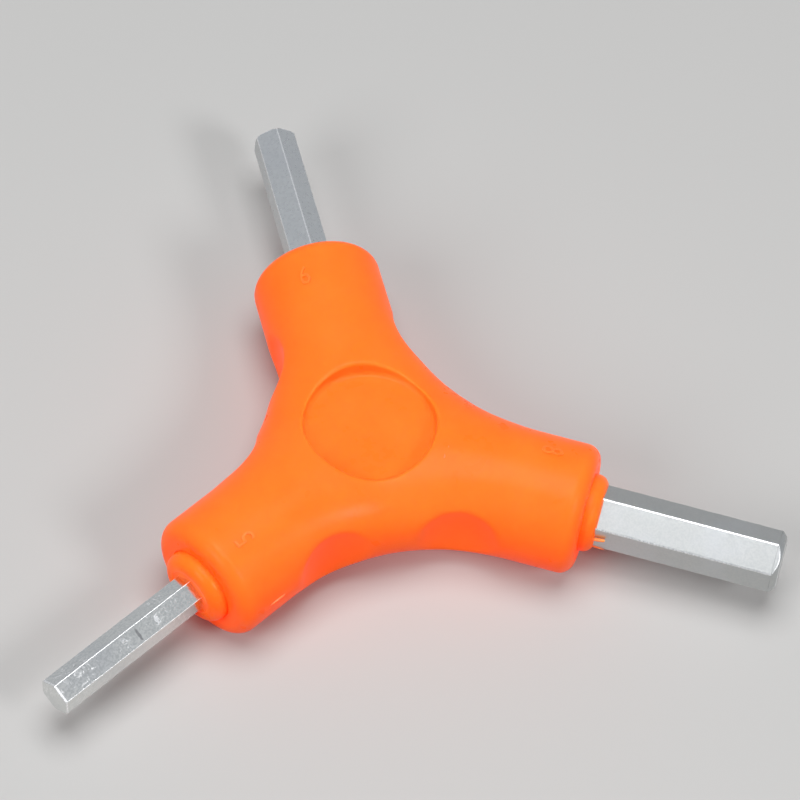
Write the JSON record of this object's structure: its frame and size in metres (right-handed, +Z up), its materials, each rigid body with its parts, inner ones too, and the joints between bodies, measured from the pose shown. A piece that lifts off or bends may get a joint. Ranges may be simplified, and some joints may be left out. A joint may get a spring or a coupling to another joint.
{
  "type": "y wrench",
  "caption": "Y-shaped hand wrench: a moulded handle with equal arms, each ending in a hexagonal steel bit of another size.",
  "frame": {"origin": "middle of the flat floor of the round recess in the underside of the hub, on the axis where the three arms meet in plan", "axes": "+Z up, out of the round recess in the top of the hub and square to the level plane of the arms; +Y along the arm of the 6 mm bit, towards its tip; the 5 mm arm points to -X -Y and the 8 mm arm to +X -Y, 120 degrees apart"},
  "size_m": [0.1099, 0.0937, 0.0192],
  "materials": {
    "grip_plastic": "orange, satin, injection moulded",
    "core_plastic": "orange, satin, injection moulded",
    "bit_steel": "satin light grey, drawn bar"
  },
  "bodies": {
    "root": {"grip_shell": "grip_plastic", "handle_core": "core_plastic", "hex_bit_6mm": "bit_steel", "hex_bit_5mm": "bit_steel", "hex_bit_8mm": "bit_steel"}
  },
  "joints": []
}
